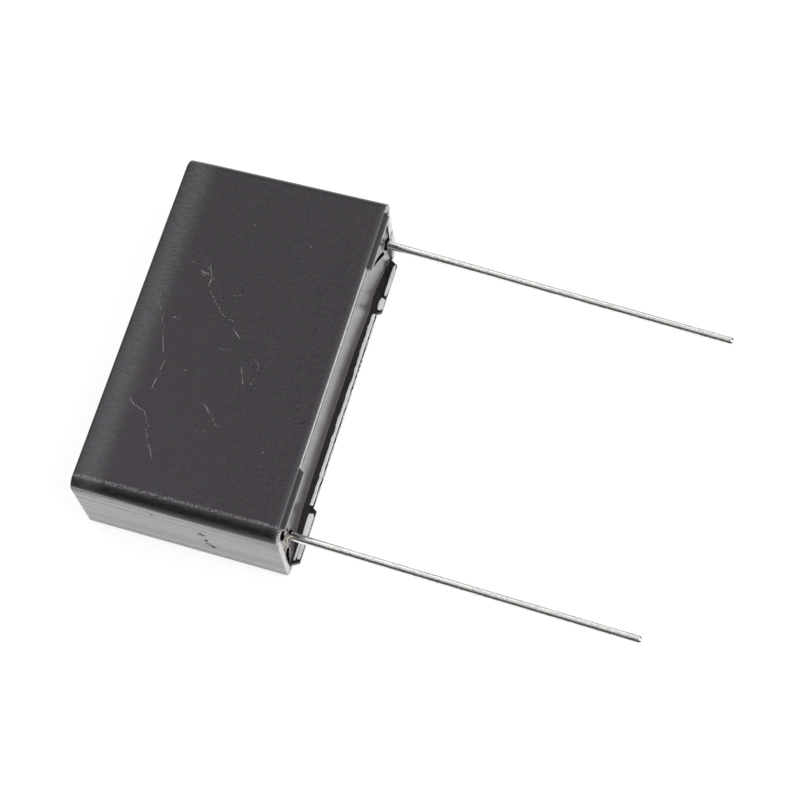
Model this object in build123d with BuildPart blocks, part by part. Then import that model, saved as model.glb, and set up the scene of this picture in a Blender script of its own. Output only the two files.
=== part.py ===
"""Box film capacitor with long wire leads.

It lies on the back wall of its case, as it comes to rest on a bench: +Z is up, the closed end of the case
is towards -X and the leads run out along +X. The origin is the centre of the case's back face, on the
surface that it lies on. All sizes are in millimetres.
"""
import os
from math import radians, sqrt, tan

from build123d import *

# Moulded case, measured on the outside at its open rim
lead_pitch = 36.8
lead_to_case_end = 2.6
case_thickness = 14.2
case_depth = 24.0
wall = 1.0
closed_wall = 1.2
edge_radius = 1.4
closed_edge_radius = 0.3
inner_edge_radius = 0.6

# Mould draft in degrees: each end wall, and the front wall against the back wall
end_draft = 0.26
face_draft = 1.85

# Stand-off feet on the rim, near the corners of the front and back walls
foot_length = 7.3
foot_height = 0.85
foot_end_angle = 60.0
foot_to_case_end = 1.4
foot_setback = 0.45

# Cast resin: how far it stops below the rim in the middle, how much higher it stands at the ends of the
# case, and how it creeps up the walls and the leads
resin_recess = 0.88
dish_rise = 0.58
meniscus_rise = 0.22
meniscus_film = 0.08
meniscus_radius = 0.14
mound_height = 0.3
mound_lip = 0.06
mound_root = 0.1
mound_spread = 0.5
mound_sag = 0.12

# Wound element and its sprayed contact layers
element_shift = 0.36
element_cover = 0.6
element_depth_below_resin = 1.4
spray_thickness = 0.6

# Wire leads: how far each reaches past the rim, and how far it is bent sideways, in degrees
wire_radius = 0.5
weld_depth = 0.2
weld_length = 14.0
bend_radius = 4.0
left_reach = 41.4
right_reach = 40.1
left_sway = -1.83
right_sway = -1.26

# Sizes and places that follow from those above
case_length = lead_pitch + 2 * lead_to_case_end
rim_x = case_depth / 2
floor_x = closed_wall - rim_x
middle_z = case_thickness / 2
inner_length = case_length - 2 * wall
inner_thickness = case_thickness - 2 * wall
inner_depth = case_depth - closed_wall
resin_x = rim_x - resin_recess
dish_radius = ((inner_length / 2) ** 2 + dish_rise**2) / (2 * dish_rise)
foot_thickness = wall - foot_setback
foot_y = case_length / 2 - foot_to_case_end - foot_length / 2
element_top_x = resin_x - element_depth_below_resin
element_width = element_top_x - floor_x - element_cover
element_x = element_top_x - element_width / 2
element_thickness = inner_thickness - inner_depth * tan(radians(face_draft)) - 2 * element_cover
element_z = wall + element_cover + element_thickness / 2
spray_face_y = lead_pitch / 2 - wire_radius + weld_depth
winding_length = 2 * (spray_face_y - spray_thickness)
rim_plane = Plane.YZ.offset(rim_x)


def drafted_block(
    length: float, depth: float, bottom_z: float, top_z: float, long_radius: float, end_radius: float
):
    """Solid that runs from the rim plane towards the closed end and narrows as the mould releases it."""
    with BuildPart() as block:
        with BuildSketch(rim_plane):
            with Locations((0, (bottom_z + top_z) / 2)):
                Rectangle(length, top_z - bottom_z)
        extrude(amount=-depth)
        draft(block.faces().filter_by(Axis.Y), rim_plane, -end_draft)
        draft(block.faces().sort_by(Axis.Z)[-1], rim_plane, -face_draft)
        fillet(block.edges().filter_by(lambda edge: abs(edge.tangent_at(0.5).X) > 0.9), long_radius)
        fillet(block.faces().sort_by(Axis.X)[0].edges(), end_radius)
    return block.part


def resin_surface(y: float) -> float:
    """Place of the dished resin along X, at a distance from the middle of the case."""
    return resin_x + dish_radius - sqrt(dish_radius**2 - y**2)


def above_dish(rise: float, length: float, thickness: float):
    """Solid that fills the opening above the dished resin, or above its surface raised by the rise."""
    with BuildPart() as space:
        with BuildSketch(Plane.XY.offset(middle_z)):
            with Locations((resin_x + rise + dish_radius, 0)):
                Circle(dish_radius)
            with Locations((rim_x, 0)):
                Rectangle(case_depth, length, mode=Mode.INTERSECT)
        extrude(amount=thickness / 2, both=True)
    return space.part


def wire_lead(side: int, reach: float, sway: float):
    """Round wire that lies on its contact layer, leaves the resin along +X and bends a little at the rim."""
    lead_y = element_shift + side * lead_pitch / 2
    weld_end = (element_top_x - weld_length, lead_y, middle_z)
    tip = (rim_x + reach, lead_y + reach * tan(radians(sway)), middle_z)
    with BuildPart() as wire:
        with BuildLine():
            FilletPolyline(weld_end, (rim_x, lead_y, middle_z), tip, radius=bend_radius)
        with BuildSketch(Plane(origin=weld_end, z_dir=(1, 0, 0))):
            Circle(wire_radius)
        sweep()
    return wire.part


def contact_layer(side: int, lead: Part):
    """Sprayed metal on one end of the winding, with the groove that the lead is welded into."""
    inner_y = element_shift + side * winding_length / 2
    with BuildPart() as layer:
        with BuildSketch(Plane.XZ.offset(-inner_y)):
            with Locations((element_x, element_z)):
                SlotOverall(element_width, element_thickness)
        extrude(amount=-side * spray_thickness)
        add(lead, mode=Mode.SUBTRACT)
    return layer.part


# Hollow of the case, which the resin takes its outside from
cavity = drafted_block(
    inner_length, inner_depth, wall, case_thickness - wall, inner_edge_radius, inner_edge_radius
)

# Case: drafted shell with a foot near each corner of its long walls
with BuildPart() as case:
    add(drafted_block(case_length, case_depth, 0, case_thickness, edge_radius, closed_edge_radius))
    add(cavity, mode=Mode.SUBTRACT)
    for foot_bottom in (foot_setback, case_thickness - wall):
        with BuildSketch(Plane.XY.offset(foot_bottom)):
            with Locations((rim_x + foot_height / 2, foot_y), (rim_x + foot_height / 2, -foot_y)):
                Trapezoid(foot_length, foot_height, foot_end_angle, rotation=-90)
        extrude(amount=foot_thickness)
case.part.label = "case"

# Leads and the contact layers that they are welded to
lead_left = wire_lead(1, left_reach, left_sway)
lead_left.label = "lead_left"
lead_right = wire_lead(-1, right_reach, right_sway)
lead_right.label = "lead_right"
end_spray_left = contact_layer(1, lead_left)
end_spray_left.label = "end_spray_left"
end_spray_right = contact_layer(-1, lead_right)
end_spray_right.label = "end_spray_right"

# Wound element: all the turns of the flattened roll as one solid
with BuildPart() as film_winding:
    with BuildSketch(Plane.XZ.offset(-element_shift)):
        with Locations((element_x, element_z)):
            SlotOverall(element_width, element_thickness)
    extrude(amount=winding_length / 2, both=True)
film_winding.part.label = "film_winding"

# Space above the resin, rounded where the resin creeps up the walls
with BuildPart() as dish:
    add(above_dish(0, inner_length - 2 * meniscus_film, inner_thickness - 2 * meniscus_film))
    fillet(dish.edges().filter_by(Axis.X), inner_edge_radius)
    fillet(dish.faces().sort_by(Axis.X)[0].edges(), meniscus_radius)

# Resin: fills the hollow, dips towards the middle, creeps up the walls and up each lead in a small mound
with BuildPart() as potting_resin:
    add(cavity)
    add(above_dish(meniscus_rise, case_length, case_thickness), mode=Mode.SUBTRACT)
    add(dish.part, mode=Mode.SUBTRACT)
    for lead_y in (element_shift + lead_pitch / 2, element_shift - lead_pitch / 2):
        foot_of_mound = (resin_surface(lead_y), lead_y, middle_z)
        with BuildSketch(Plane(origin=foot_of_mound, x_dir=(1, 0, 0), z_dir=(0, 0, 1))):
            with BuildLine():
                sides = Polyline(
                    (mound_height, wire_radius + mound_lip),
                    (mound_height, 0),
                    (-mound_root, 0),
                    (-mound_root, wire_radius + mound_spread),
                )
                SagittaArc(sides @ 1, sides @ 0, mound_sag)
            make_face()
        revolve(axis=Axis(foot_of_mound, (1, 0, 0)))
    for held in (film_winding.part, end_spray_left, end_spray_right, lead_left, lead_right):
        add(held, mode=Mode.SUBTRACT)
potting_resin.part.label = "potting_resin"

os.makedirs("parts", exist_ok=True)
for piece in (
    case.part,
    potting_resin.part,
    film_winding.part,
    end_spray_left,
    end_spray_right,
    lead_left,
    lead_right,
):
    export_step(piece, f"parts/{piece.label}.step")
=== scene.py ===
"""Looks of a box film capacitor: moulded case, cast resin with a mound up each lead, and two wire leads.

Shapes are modelled in millimetres in the part's own frame and turned to metres when a piece is finished:
+X runs along the leads, +Y along the case towards the left lead, and +Z is up from the surface it lies on.
"""

import logging
import math
from dataclasses import dataclass
from enum import Enum
from typing import Iterable, Sequence

import bmesh
import bpy
from mathutils import Matrix, Quaternion, Vector, noise

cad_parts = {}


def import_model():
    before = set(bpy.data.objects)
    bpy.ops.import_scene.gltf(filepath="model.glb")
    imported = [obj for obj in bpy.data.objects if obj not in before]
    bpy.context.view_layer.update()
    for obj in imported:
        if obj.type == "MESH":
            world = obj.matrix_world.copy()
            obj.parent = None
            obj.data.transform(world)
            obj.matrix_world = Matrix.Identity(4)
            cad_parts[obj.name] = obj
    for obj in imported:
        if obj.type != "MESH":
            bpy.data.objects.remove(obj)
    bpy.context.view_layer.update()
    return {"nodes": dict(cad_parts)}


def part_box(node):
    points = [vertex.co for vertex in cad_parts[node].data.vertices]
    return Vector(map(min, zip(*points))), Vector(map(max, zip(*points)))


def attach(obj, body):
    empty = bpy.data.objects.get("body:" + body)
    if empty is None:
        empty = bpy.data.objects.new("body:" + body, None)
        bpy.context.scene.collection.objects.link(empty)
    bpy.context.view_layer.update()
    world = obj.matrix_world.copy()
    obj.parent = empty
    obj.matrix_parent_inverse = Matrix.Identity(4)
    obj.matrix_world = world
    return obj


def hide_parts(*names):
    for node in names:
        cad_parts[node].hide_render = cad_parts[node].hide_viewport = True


LOG = logging.getLogger("box_capacitor")
MM = 0.001
BODY = "root"
LUMP_TONE = "lump_tone"

Colour = tuple[float, float, float]
Point = tuple[float, float, float]
FacePoint = tuple[float, float]
Span = tuple[float, float]
Socket = bpy.types.NodeSocket
Finish = bpy.types.Material
BMesh = bmesh.types.BMesh
BMVert = bmesh.types.BMVert
BMEdge = bmesh.types.BMEdge
BMFace = bmesh.types.BMFace

# Results of a fade, and the values between which gloss and low viewing angles have their effect
RISING: Span = (0.0, 1.0)
FALLING: Span = (1.0, 0.0)
GLOSS_RANGE: Span = (0.3, 0.7)
GRAZING_RANGE: Span = (0.45, 0.85)

# Directions in which a seed shifts a pattern of a finish and an unevenness of a shape
GRAIN_SHIFT: Point = (1.0, 1.3, -0.7)
WAVE_SHIFT: Point = (1.0, 2.7, -1.9)

# Least part of a unit direction that counts as along an axis, and as square to a face
ALONG_AXIS = 0.9
SQUARE = 0.99
QUARTER_TURN = math.radians(90)

# Edges of a piece that turn by more than its angle, in degrees, stay sharp
CASE_SHARP = 32.0
CHIP_SHARP = 20.0
RESIN_SHARP = 60.0
WIRE_SHARP = 50.0


class Slot(Enum):
    """Material slots of the part's record that new pieces stand for."""

    CASE = "case_plastic"
    RESIN = "resin"
    WIRE = "tinned_wire"


class Side(Enum):
    """The two leads, by the side of the case that they are on."""

    LEFT = 1
    RIGHT = -1


class Wall(Enum):
    """The two long walls of the case, by the way from their inner face to the outside along Z."""

    BACK = -1.0
    FRONT = 1.0


@dataclass(frozen=True)
class Wave:
    """Smooth unevenness: its strength, the distance over which it changes in millimetres, and its seed."""

    strength: float
    size: float
    seed: float = 0.0

    def at(self, place: Sequence[float], seed: float = 0.0) -> float:
        """Gives its value at a place, the same on every run. A further seed is added to its own."""
        shift = Vector([(self.seed + seed) * step for step in WAVE_SHIFT])
        return self.strength * noise.noise(Vector(place) / self.size + shift)


def total(waves: Iterable[Wave], place: Sequence[float], seed: float = 0.0) -> float:
    """Sums up waves at a place."""
    return sum(wave.at(place, seed) for wave in waves)


def ease(span: Span, value: float) -> float:
    """Gives 0 before a span, 1 past it and a smooth step between its ends."""
    low, high = span
    share = min(max((value - low) / (high - low), 0.0), 1.0)
    return share * share * (3.0 - 2.0 * share)


def slope(degrees: float) -> float:
    """Gives the rise over the run at an angle."""
    return math.tan(math.radians(degrees))


def in_m(span: Span) -> Span:
    """Turns a span from millimetres to metres."""
    return span[0] * MM, span[1] * MM


def once(items: Iterable) -> list:
    """Lists each item once, in the order of their first use."""
    return list(dict.fromkeys(items))


def edges_along(edges: Iterable[BMEdge], axis: int) -> list[BMEdge]:
    """Picks the edges that run along an axis, counted from 0 for X."""
    return [
        edge
        for edge in edges
        if abs((edge.verts[0].co - edge.verts[1].co).normalized()[axis]) > ALONG_AXIS
    ]


def points_of(made: dict) -> list[BMVert]:
    """Picks the points out of what an extrusion has made."""
    return [item for item in made["geom"] if isinstance(item, BMVert)]


def round_edges(bm: BMesh, edges: list[BMEdge], radius: float, segments: int) -> list[BMFace]:
    """Rounds edges to a radius and gives the new faces."""
    made = bmesh.ops.bevel(
        bm, geom=edges, offset=radius, offset_type="OFFSET", segments=segments, profile=0.5,
        affect="EDGES", material=-1, clamp_overlap=True,
    )
    return made["faces"]


def close_up(bm: BMesh) -> None:
    """Closes the open ends of a shape and turns its faces outwards."""
    bmesh.ops.holes_fill(bm, edges=[edge for edge in bm.edges if edge.is_boundary], sides=0)
    bmesh.ops.recalc_face_normals(bm, faces=bm.faces[:])


@dataclass(frozen=True)
class Grain:
    """Noise pattern of a finish: the size of its features in millimetres, its finer layers and its seed."""

    size: Point
    detail: float = 2.0
    seed: float = 0.0


@dataclass(frozen=True)
class Band:
    """Pale band on a finish: the axis that it lies across, its middle and reach there, and its strength."""

    axis: str
    middle: float
    reach: float
    strength: float


class Surface:
    """A procedural material, built up on one Principled shader."""

    def __init__(self, name: str, colour: Colour, roughness: float, metallic: float = 0.0) -> None:
        """Starts the material.

        Args:
            name: Name of the material.
            colour: Linear base colour.
            roughness: Roughness where no pattern changes it.
            metallic: 1 for bare metal, 0 for anything else.
        """
        self.material = bpy.data.materials.new(name)
        self.material.use_nodes = True
        self.tree = self.material.node_tree
        self.shader = self.tree.nodes["Principled BSDF"]
        self.set("Base Color", (*colour, 1.0))
        self.set("Roughness", roughness)
        self.set("Metallic", metallic)
        self.place = self.tree.nodes.new("ShaderNodeTexCoord").outputs["Object"]

    def set(self, socket: str, value: object) -> None:
        """Sets a value of the shader that is the same all over the surface."""
        self.shader.inputs[socket].default_value = value

    def grain(self, grain: Grain) -> Socket:
        """Adds a noise pattern and gives its value, about 0.5 in the middle."""
        mapping = self.tree.nodes.new("ShaderNodeMapping")
        mapping.inputs["Scale"].default_value = [1.0 / (MM * step) for step in grain.size]
        mapping.inputs["Location"].default_value = [grain.seed * step for step in GRAIN_SHIFT]
        self.tree.links.new(self.place, mapping.inputs["Vector"])
        texture = self.tree.nodes.new("ShaderNodeTexNoise")
        texture.inputs["Scale"].default_value = 1.0
        texture.inputs["Detail"].default_value = grain.detail
        self.tree.links.new(mapping.outputs["Vector"], texture.inputs["Vector"])
        return texture.outputs["Fac"]

    def stored(self, name: str) -> Socket:
        """Gives a value that is stored on the points of the mesh."""
        attribute = self.tree.nodes.new("ShaderNodeAttribute")
        attribute.attribute_name = name
        return attribute.outputs["Fac"]

    def spread(self, value: Socket, given: Span, result: Span = RISING) -> Socket:
        """Turns a value within a given span smoothly into one within the span of the result."""
        node = self.tree.nodes.new("ShaderNodeMapRange")
        node.interpolation_type = "SMOOTHSTEP"
        for socket, number in zip(("From Min", "From Max", "To Min", "To Max"), (*given, *result)):
            node.inputs[socket].default_value = number
        self.tree.links.new(value, node.inputs["Value"])
        return node.outputs["Result"]

    def join(self, operation: str, first: Socket, second: Socket | float = 0.0) -> Socket:
        """Joins two values, or a value and a number, by an operation of the Math node."""
        node = self.tree.nodes.new("ShaderNodeMath")
        node.operation = operation
        self.tree.links.new(first, node.inputs[0])
        if isinstance(second, float):
            node.inputs[1].default_value = second
        else:
            self.tree.links.new(second, node.inputs[1])
        return node.outputs["Value"]

    def add(self, first: Socket, second: Socket | float) -> Socket:
        """Adds two values."""
        return self.join("ADD", first, second)

    def minus(self, first: Socket, second: Socket | float) -> Socket:
        """Takes the second value from the first."""
        return self.join("SUBTRACT", first, second)

    def times(self, first: Socket, second: Socket | float) -> Socket:
        """Multiplies two values."""
        return self.join("MULTIPLY", first, second)

    def along(self, axis: str) -> Socket:
        """Gives a place's distance from the origin along an axis, in metres."""
        split = self.tree.nodes.new("ShaderNodeSeparateXYZ")
        self.tree.links.new(self.place, split.inputs["Vector"])
        return split.outputs[axis]

    def beyond(self, axis: str, span: Span, result: Span = RISING) -> Socket:
        """Turns a place along an axis smoothly from one result to the other over a span in millimetres."""
        return self.spread(self.along(axis), in_m(span), result)

    def band(self, band: Band) -> Socket:
        """Gives a band's strength in its middle, fading to 0 at its reach on both sides."""
        away = self.join("ABSOLUTE", self.minus(self.along(band.axis), band.middle * MM))
        return self.spread(away, (0.0, band.reach * MM), (band.strength, 0.0))

    def tint(self, pattern: Socket, stops: Span, low: Colour, high: Colour) -> None:
        """Lets a pattern vary the base colour.

        Args:
            pattern: Value that drives the colour.
            stops: Pattern values of the two colours.
            low: Colour at the first of them.
            high: Colour at the second.
        """
        ramp = self.tree.nodes.new("ShaderNodeValToRGB")
        for index, (stop, colour) in enumerate(zip(stops, (low, high))):
            ramp.color_ramp.elements[index].position = stop
            ramp.color_ramp.elements[index].color = (*colour, 1.0)
        self.tree.links.new(pattern, ramp.inputs["Fac"])
        self.tree.links.new(ramp.outputs["Color"], self.shader.inputs["Base Color"])

    def gloss(
        self, pattern: Socket, roughness: Span, grazing: float = 1.0, dull: Socket | None = None
    ) -> None:
        """Lets a pattern vary the roughness, which falls where the surface is seen at a low angle.

        Args:
            pattern: Value that drives the roughness.
            roughness: Roughness at the pattern's low values and at its high ones.
            grazing: Share of the roughness that is left at a low angle.
            dull: Roughness that is added from any angle.
        """
        rough = self.spread(pattern, GLOSS_RANGE, roughness)
        if grazing < 1.0:
            weight = self.tree.nodes.new("ShaderNodeLayerWeight")
            rough = self.times(rough, self.spread(weight.outputs["Facing"], GRAZING_RANGE, (1.0, grazing)))
        if dull is not None:
            rough = self.add(rough, dull)
        self.tree.links.new(rough, self.shader.inputs["Roughness"])

    def relief(self, pattern: Socket, depth: float) -> None:
        """Adds fine relief on top of any that is there already.

        Args:
            pattern: Height of the relief.
            depth: Height in millimetres between values of 0 and 1.
        """
        bump = self.tree.nodes.new("ShaderNodeBump")
        bump.inputs["Distance"].default_value = depth * MM
        bump.inputs["Strength"].default_value = 1.0
        self.tree.links.new(pattern, bump.inputs["Height"])
        normal = self.shader.inputs["Normal"]
        if normal.links:
            self.tree.links.new(normal.links[0].from_socket, bump.inputs["Normal"])
        self.tree.links.new(bump.outputs["Normal"], normal)


@dataclass(frozen=True)
class CasePlastic:
    """Black moulded plastic with a fine matte grain, marks drawn along X by the mould, and pale painted
    sheen.

    The painted sheen lies in a band beside the closed end, as painted highlights along the rim and the
    rounded edge of the front face, and as painted reflection on the end walls, where it is streaked along X.
    Places are in millimetres.
    """

    dark: Colour = (0.004, 0.0034, 0.0044)
    pale: Colour = (0.68, 0.69, 0.697)
    specular_tint: Colour = (0.98, 0.87, 1.0)
    refraction: float = 1.5
    roughness: Span = (0.36, 0.44)
    grazing: float = 0.22
    grain: Grain = Grain((0.2, 0.2, 0.2), 3.0)
    grain_depth: float = 0.011
    speckle_range: Span = (0.35, 0.65)
    speckle_bloom: float = 0.02
    marks: Grain = Grain((0.9, 0.2, 0.2), 3.0, 4.0)
    mark_depth: float = 0.0036
    mark_range: Span = (0.4, 0.6)
    mark_bloom: float = 0.011
    drawn_range: Span = (0.3, 0.7)
    drawn: Span = (0.55, 1.0)
    # Streaks along X on the end walls: their pale colour is painted reflection, paler towards the top
    broad: Grain = Grain((60.0, 3.0, 1.2), 2.0, 8.0)
    broad_rise: float = 10.0
    broad_range: Span = (0.47, 0.67)
    broad_sheen: Span = (0.62, 0.69)
    broad_dull: Span = (0.13, 0.0)
    fine: Grain = Grain((40.0, 2.0, 0.36), 3.0, 6.0)
    fine_range: Span = (0.38, 0.62)
    fine_sheen: Span = (0.0, 0.07)
    fine_dull: Span = (0.11, 0.0)
    front_z: Span = (12.5, 13.0)
    feet_x: Span = (12.0, 12.1)
    # Painted sheen: a pale band beside the closed end, streaked by the drawn marks
    closed_band: Band = Band("X", -10.2, 2.5, 0.085)
    # Painted highlight along the start of the front face's rounded edge at the right end, broken up by the
    # speckle
    painted_edge_highlight: Band = Band("Y", -19.45, 0.32, 0.23)
    # Painted highlight and sheen along the rim's edge and the front feet's edges
    rim_bands: tuple[Band, ...] = (
        Band("X", 12.0, 0.8, 0.05),
        Band("X", 11.96, 0.13, 0.16),
        Band("X", 12.5, 0.13, 0.1),
    )
    # Where the painted reflection on the end walls lies
    wall_y: Span = (20.87, 21.03)
    wall_z: float = 12.8
    wall_slant: float = 0.0237
    wall_fall: float = 0.1
    closed_x: Span = (-11.95, -11.7)
    back_z: Span = (0.05, 0.4)

    def material(self) -> Finish:
        """Builds the material."""
        surface = Surface("case_plastic", self.dark, self.roughness[1])
        surface.set("IOR", self.refraction)
        surface.set("Specular Tint", (*self.specular_tint, 1.0))
        grain = surface.grain(self.grain)
        marks = surface.grain(self.marks)
        end_wall = self._end_wall(surface)
        # Painted reflection on the end walls, streaked along X, with the gloss that follows its streaks
        broad = surface.add(surface.grain(self.broad), surface.times(surface.along("Z"), self.broad_rise))
        fine = surface.grain(self.fine)
        streaks = []
        for wide, narrow in ((self.broad_sheen, self.fine_sheen), (self.broad_dull, self.fine_dull)):
            coarse = surface.spread(broad, self.broad_range, wide)
            both = surface.add(coarse, surface.spread(fine, self.fine_range, narrow))
            streaks.append(surface.times(both, end_wall))
        skin, dull = streaks
        grain_and_sheen = surface.add(self._grain_and_painted_sheen(surface, grain, marks), skin)
        surface.tint(grain_and_sheen, RISING, self.dark, self.pale)
        surface.gloss(marks, self.roughness, self.grazing, dull)
        surface.relief(marks, self.mark_depth)
        surface.relief(grain, self.grain_depth)
        return surface.material

    def _grain_and_painted_sheen(self, surface: Surface, grain: Socket, marks: Socket) -> Socket:
        """Works out how pale the plastic is away from the end walls: painted sheen and highlights on the
        front face, and the real grain of its skin.

        Args:
            surface: The material that is built.
            grain: Its fine grain.
            marks: Its marks along X.

        Returns:
            A share from 0, black, to 1, pale.
        """
        speckle = surface.spread(grain, self.speckle_range)
        drawn = surface.spread(marks, self.drawn_range, self.drawn)
        # Painted sheen and highlights, on the front face only
        face = surface.times(surface.band(self.closed_band), drawn)
        face = surface.add(face, surface.times(surface.band(self.painted_edge_highlight), speckle))
        for band in self.rim_bands:
            face = surface.add(face, surface.band(band))
        face = surface.times(face, surface.beyond("Z", self.front_z))
        # Real grain and drawn marks of the skin, everywhere but on the feet
        lines = surface.times(surface.spread(marks, self.mark_range), self.mark_bloom)
        skin = surface.add(surface.times(speckle, self.speckle_bloom), lines)
        return surface.add(face, surface.times(skin, surface.beyond("X", self.feet_x, FALLING)))

    def _end_wall(self, surface: Surface) -> Socket:
        """Gives 1 on the end walls, where the painted reflection lies, fading to 0 towards the front, the
        back and the closed end.
        """
        slant = surface.times(surface.along("X"), self.wall_slant)
        away = surface.minus(surface.join("ABSOLUTE", surface.along("Y")), slant)
        above = surface.minus(surface.along("Z"), self.wall_z * MM)
        away = surface.minus(away, surface.times(above, self.wall_fall))
        wall = surface.spread(away, in_m(self.wall_y))
        for axis, fade in (("X", self.closed_x), ("Z", self.back_z)):
            wall = surface.times(wall, surface.beyond(axis, fade))
        return wall


@dataclass(frozen=True)
class SmudgeAndShade:
    """Black without any shine: of real rub marks, and of painted shade in the gaps round the leads and along
    the rims.
    """

    colour: Colour = (0.006, 0.006, 0.006)
    base_roughness: float = 0.75
    roughness: Span = (0.7, 0.8)
    # No shine, so that the painted shade stays black at any angle
    specular: float = 0.0
    grain: Grain = Grain((0.1, 0.1, 0.1))

    def material(self) -> Finish:
        """Builds the material."""
        surface = Surface("smudge_and_painted_shade", self.colour, self.base_roughness)
        surface.set("Specular IOR Level", self.specular)
        surface.gloss(surface.grain(self.grain), self.roughness)
        return surface.material


@dataclass(frozen=True)
class CastResin:
    """Dark cast resin, paler on its lumps and smooth enough to reflect its surroundings at a low angle; the
    palest lumps stand partly for glints, as painted highlight.
    """

    colour: Colour = (0.2, 0.182, 0.19)
    lump: Colour = (0.66, 0.58, 0.5)
    roughness: Span = (0.2, 0.25)
    clouds: Grain = Grain((1.6, 1.6, 1.6), 1.0, 3.0)

    def material(self) -> Finish:
        """Builds the material."""
        surface = Surface("cast_resin", self.colour, self.roughness[1])
        surface.tint(surface.stored(LUMP_TONE), RISING, self.colour, self.lump)
        surface.gloss(surface.grain(self.clouds), self.roughness)
        return surface.material


@dataclass(frozen=True)
class TinnedWire:
    """Bright tin plating with drawing marks along the wire and small pits."""

    colour: Colour = (0.8, 0.795, 0.78)
    dull: Colour = (0.54, 0.53, 0.51)
    stops: Span = (0.32, 0.5)
    roughness: Span = (0.12, 0.26)
    metallic: float = 1.0
    pits: Grain = Grain((0.35, 0.16, 0.16), 3.0)
    pit_depth: float = 0.007
    marks: Grain = Grain((4.0, 0.07, 0.07), 2.0, 5.0)
    mark_depth: float = 0.005

    def material(self) -> Finish:
        """Builds the material."""
        surface = Surface("tinned_wire", self.colour, self.roughness[1], self.metallic)
        pits = surface.grain(self.pits)
        surface.tint(pits, self.stops, self.dull, self.colour)
        surface.gloss(pits, self.roughness)
        surface.relief(surface.grain(self.marks), self.mark_depth)
        surface.relief(pits, self.pit_depth)
        return surface.material


@dataclass(frozen=True)
class CloudedFinish:
    """Finish with darker clouds, and with a gloss or a relief that follows them where it has one."""

    name: str
    colour: Colour
    shadow: Colour
    stops: Span
    clouds: Grain
    base_roughness: float
    roughness: Span | None = None
    metallic: float = 0.0
    depth: float = 0.0

    def material(self) -> Finish:
        """Builds the material."""
        surface = Surface(self.name, self.colour, self.base_roughness, self.metallic)
        clouds = surface.grain(self.clouds)
        surface.tint(clouds, self.stops, self.shadow, self.colour)
        if self.roughness:
            surface.gloss(clouds, self.roughness)
        if self.depth:
            surface.relief(clouds, self.depth)
        return surface.material


# Plastic that a scratch has torn up, paler than the skin round it
SCUFFED_PLASTIC = CloudedFinish(
    "scuffed_plastic",
    colour=(0.3, 0.29, 0.3),
    shadow=(0.13, 0.125, 0.13),
    stops=(0.35, 0.6),
    clouds=Grain((0.12, 0.12, 0.12)),
    base_roughness=0.6,
)

# Near-white finish of painted highlight and painted reflection: the line inside the back rim and the pools on
# the back feet
PALE_GLARE_FINISH = CloudedFinish(
    "pale_painted_glare",
    colour=(0.93, 0.95, 0.95),
    shadow=(0.87, 0.89, 0.895),
    stops=(0.3, 0.5),
    clouds=Grain((0.5, 0.9, 0.5), 3.0),
    base_roughness=0.25,
    roughness=(0.15, 0.35),
)

# Glossy film of resin on the rims, which mirrors its surroundings at a low angle; its near-white colour adds
# painted glare to that
RESIN_FILM_AND_GLARE = CloudedFinish(
    "resin_film_and_glare",
    colour=(0.84, 0.835, 0.83),
    shadow=(0.54, 0.535, 0.53),
    stops=(0.38, 0.52),
    clouds=Grain((0.4, 0.4, 0.4), 3.0, 2.0),
    base_roughness=0.16,
    roughness=(0.06, 0.16),
)

# Glossy beige beads of resin at the root of a lead; their pale beige stands partly for glints, as painted
# highlight
CURED_BEAD_AND_GLINT = CloudedFinish(
    "cured_bead_and_glint",
    colour=(0.62, 0.55, 0.48),
    shadow=(0.2, 0.165, 0.14),
    stops=(0.4, 0.55),
    clouds=Grain((0.3, 0.3, 0.3), 2.0, 1.0),
    base_roughness=0.2,
    roughness=(0.12, 0.3),
)

# Edges of the metallised film's turns, hidden in the resin
WOUND_FILM = CloudedFinish(
    "wound_film",
    colour=(0.62, 0.63, 0.64),
    shadow=(0.4, 0.41, 0.42),
    stops=(0.35, 0.55),
    clouds=Grain((0.08, 30.0, 0.08), 1.0),
    base_roughness=0.3,
    metallic=0.6,
    depth=0.01,
)

# Rough grey metal that was sprayed onto the ends of the roll, hidden in the resin
SPRAYED_METAL = CloudedFinish(
    "sprayed_metal",
    colour=(0.5, 0.5, 0.51),
    shadow=(0.3, 0.3, 0.31),
    stops=(0.35, 0.6),
    clouds=Grain((0.25, 0.25, 0.25), 4.0),
    base_roughness=0.6,
    metallic=1.0,
    depth=0.05,
)


class Bench:
    """Turns bmeshes that were modelled in millimetres into finished pieces of the part."""

    def finish(self, bm: BMesh, name: str, material: Finish, slot: Slot, sharp: float) -> bpy.types.Object:
        """Makes an object of a bmesh and lets it ride on the part.

        Args:
            bm: The finished shape, which is freed.
            name: Name of the piece.
            material: Its finish.
            slot: The record's slot that the finish stands for; not used.
            sharp: Edges that turn by more than this angle, in degrees, stay sharp.

        Returns:
            The new piece.
        """
        bmesh.ops.scale(bm, vec=(MM, MM, MM), verts=bm.verts[:])
        mesh = bpy.data.meshes.new(name)
        bm.to_mesh(mesh)
        bm.free()
        mesh.polygons.foreach_set("use_smooth", [True] * len(mesh.polygons))
        mesh.set_sharp_from_angle(angle=math.radians(sharp))
        mesh.materials.append(material)
        piece = bpy.data.objects.new(name, mesh)
        bpy.context.scene.collection.objects.link(piece)
        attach(piece, BODY)
        LOG.info("%s: %d faces", name, len(mesh.polygons))
        return piece

    def dress(self, node: bpy.types.Object, material: Finish) -> None:
        """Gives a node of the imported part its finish.

        Args:
            node: The node's object, whose mesh stays as it is.
            material: Its finish.
        """
        node.data.materials.clear()
        node.data.materials.append(material)
        LOG.info("%s: dressed in %s", node.name, material.name)


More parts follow.
